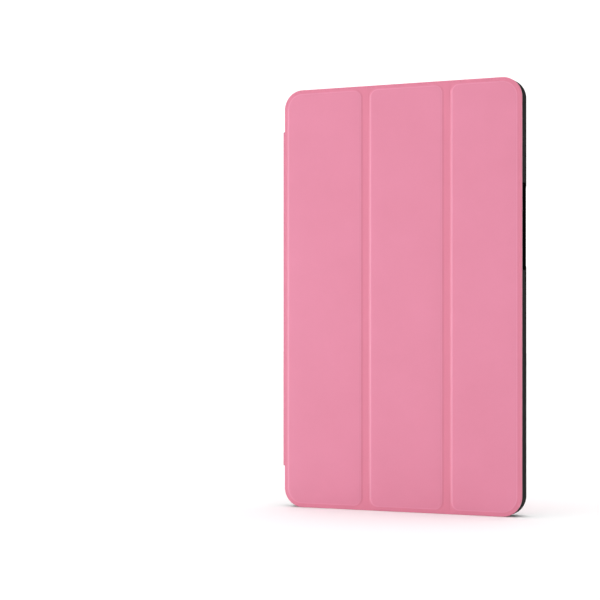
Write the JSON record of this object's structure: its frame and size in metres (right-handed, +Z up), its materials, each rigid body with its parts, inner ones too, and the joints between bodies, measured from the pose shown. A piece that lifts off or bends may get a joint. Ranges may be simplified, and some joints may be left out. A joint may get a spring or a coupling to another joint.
{
  "type": "tablet case",
  "caption": "Tri-fold tablet case: a moulded shell with a leather cover of stiff hinged panels that closes over the screen and rolls into a stand.",
  "frame": {"origin": "middle of the base, at the bottom of the case's bounding box", "axes": "+Z up along the long axis, +X across towards the cover's free edge with the spine at -X, +Y from the cover towards the shell's back"},
  "size_m": [0.1288, 0.0124, 0.2185],
  "materials": {
    "shell_plastic": "satin moulded black",
    "cover_leather": "fine-grained pink synthetic leather",
    "cover_lining": "grey microfibre",
    "panel_board": "grey board",
    "spine_film": "translucent film",
    "plated_steel": "nickel plated"
  },
  "bodies": {
    "shell": {"back_shell": "shell_plastic", "back_leather": "cover_leather"},
    "spine": {"spine_leather": "cover_leather", "spine_stiffener": "spine_film", "spine_lining": "cover_lining", "back_crease_leather": "cover_leather", "front_crease_leather": "cover_leather", "front_crease_lining": "cover_lining"},
    "first_panel": {"panel_1_leather": "cover_leather", "panel_1_board": "panel_board", "panel_1_lining": "cover_lining", "catch_plate_lower": "plated_steel", "catch_plate_upper": "plated_steel", "fold_1_leather": "cover_leather", "fold_1_lining": "cover_lining"},
    "second_panel": {"panel_2_leather": "cover_leather", "panel_2_board": "panel_board", "panel_2_lining": "cover_lining", "fold_2_leather": "cover_leather", "fold_2_lining": "cover_lining"},
    "third_panel": {"panel_3_leather": "cover_leather", "panel_3_board": "panel_board", "panel_3_lining": "cover_lining", "stand_magnet_lower": "plated_steel", "sleep_magnet": "plated_steel", "stand_magnet_upper": "plated_steel"}
  },
  "joints": [
    {"name": "spine_hinge", "type": "hinge", "parent": "shell", "child": "spine", "pos_m": [-0.06375, 0.00559, 0.10925], "axis": [0, 0, -1], "range_deg": [0, 90], "deforming": ["back_crease_leather"]},
    {"name": "cover_hinge", "type": "hinge", "parent": "spine", "child": "first_panel", "pos_m": [-0.06375, -0.00514, 0.10925], "axis": [0, 0, -1], "range_deg": [0, 209.6], "deforming": ["front_crease_leather", "front_crease_lining"]},
    {"name": "first_fold", "type": "hinge", "parent": "first_panel", "child": "second_panel", "pos_m": [-0.01791, -0.00514, 0.10925], "axis": [0, 0, -1], "range_deg": [0, 120.2], "deforming": ["fold_1_leather", "fold_1_lining"]},
    {"name": "second_fold", "type": "hinge", "parent": "second_panel", "child": "third_panel", "pos_m": [0.02579, -0.00514, 0.10925], "axis": [0, 0, -1], "range_deg": [0, 120.2], "deforming": ["fold_2_leather", "fold_2_lining"]}
  ],
  "couplings": [
    {"joint": "second_fold", "follows": "first_fold", "ratio": 1}
  ]
}
